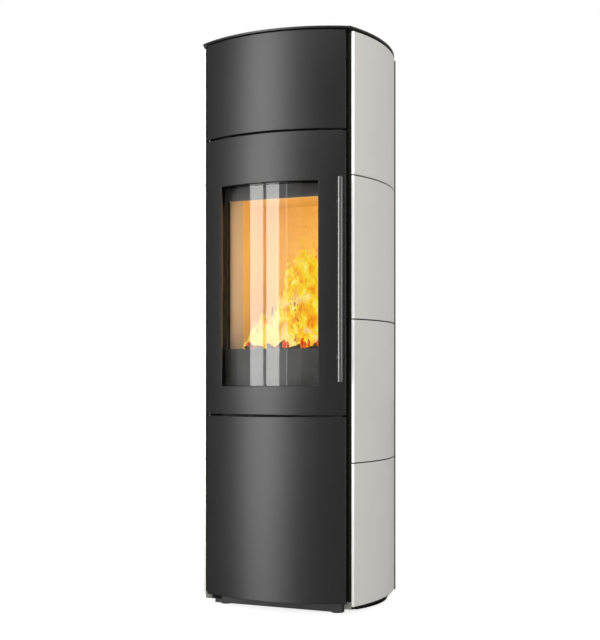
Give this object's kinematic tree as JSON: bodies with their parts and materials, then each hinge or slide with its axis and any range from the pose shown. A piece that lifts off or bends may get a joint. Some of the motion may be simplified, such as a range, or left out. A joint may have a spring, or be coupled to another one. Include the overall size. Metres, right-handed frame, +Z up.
{
  "type": "tiled stove",
  "caption": "Tall free-standing wood stove with a bowed black front, a glazed fire door with a vertical bar handle, a plain lower door and curved glazed tiles down both sides.",
  "frame": {"origin": "on the floor, under the middle of the overall box, smoke spigot included", "axes": "+Z up, +Y to the back, +X to the right as seen from the front"},
  "size_m": [0.5446, 0.4872, 1.674],
  "materials": {
    "black_steel": "satin black heat-proof paint",
    "grey_steel": "matt dark grey heat-proof paint",
    "raw_steel": "zinc-plated",
    "stainless": "fine vertical brush",
    "cast_iron": "as cast, blackened",
    "glaze": "pale warm grey glaze, satin gloss",
    "fibre": "pressed mineral fibre strip",
    "rope": "knitted glass-fibre rope",
    "fire_board": "pressed vermiculite",
    "store_stone": "cast refractory",
    "glass": "clear glass-ceramic"
  },
  "bodies": {
    "stove_body": {"top_plate": "black_steel", "top_spacers": "fibre", "side_wall_right": "grey_steel", "side_wall_left": "grey_steel", "corner_post_right": "black_steel", "corner_post_left": "black_steel", "corner_tabs": "grey_steel", "base_plate": "black_steel", "levelling_feet": "black_steel", "plinth": "black_steel", "back_panel": "grey_steel", "back_screws": "raw_steel", "tile_hooks": "raw_steel", "tile_strips": "fibre", "upper_front_panel": "black_steel", "upper_panel_brackets": "raw_steel", "face_plate": "grey_steel", "firebox_shell": "grey_steel", "lining_rear": "fire_board", "lining_sides": "fire_board", "hearth_slab": "fire_board", "grate": "cast_iron", "ash_pan": "raw_steel", "baffle_board": "fire_board", "baffle_plate": "grey_steel", "heat_store_blocks": "store_stone", "smoke_elbow": "grey_steel", "smoke_spigot": "black_steel", "air_box": "grey_steel", "air_spigot": "raw_steel", "slide_guides": "raw_steel", "compartment_floor": "grey_steel", "hinge_brackets": "black_steel", "hinge_pins": "stainless", "catch_leaves": "stainless", "magnet_catches": "raw_steel", "tile_right_1": "glaze", "tile_left_1": "glaze", "tile_right_2": "glaze", "tile_left_2": "glaze", "tile_right_3": "glaze", "tile_left_3": "glaze", "tile_right_4": "glaze", "tile_left_4": "glaze"},
    "fire_door": {"door_skin": "black_steel", "door_frame": "cast_iron", "door_glass": "glass", "glass_tape": "rope", "glass_clips": "stainless", "door_seal": "rope", "handle_bar": "stainless", "handle_arms": "stainless", "roller_forks": "raw_steel"},
    "lower_door": {"lower_door_skin": "black_steel", "lower_door_frame": "grey_steel"},
    "air_control": {"air_slide": "raw_steel", "air_knob": "stainless"},
    "catch_roller_lower": {"roller_lower": "stainless"},
    "catch_roller_upper": {"roller_upper": "stainless"}
  },
  "joints": [
    {"name": "fire_door_hinge", "type": "hinge", "parent": "stove_body", "child": "fire_door", "pos_m": [-0.2135, -0.17836, 0.975], "axis": [0, 0, -1], "range_deg": [0, 95]},
    {"name": "lower_door_hinge", "type": "hinge", "parent": "stove_body", "child": "lower_door", "pos_m": [-0.2135, -0.17836, 0.3], "axis": [0, 0, -1], "range_deg": [0, 95]},
    {"name": "air_control_slide", "type": "slide", "parent": "stove_body", "child": "air_control", "axis": [1, 0, 0], "range_m": [0, 0.06]},
    {"name": "catch_roller_lower_spin", "type": "hinge", "parent": "fire_door", "child": "catch_roller_lower", "pos_m": [0.194, -0.15536, 0.79425], "axis": [0, 0, 1], "continuous": true},
    {"name": "catch_roller_upper_spin", "type": "hinge", "parent": "fire_door", "child": "catch_roller_upper", "pos_m": [0.194, -0.15536, 1.09425], "axis": [0, 0, 1], "continuous": true}
  ]
}
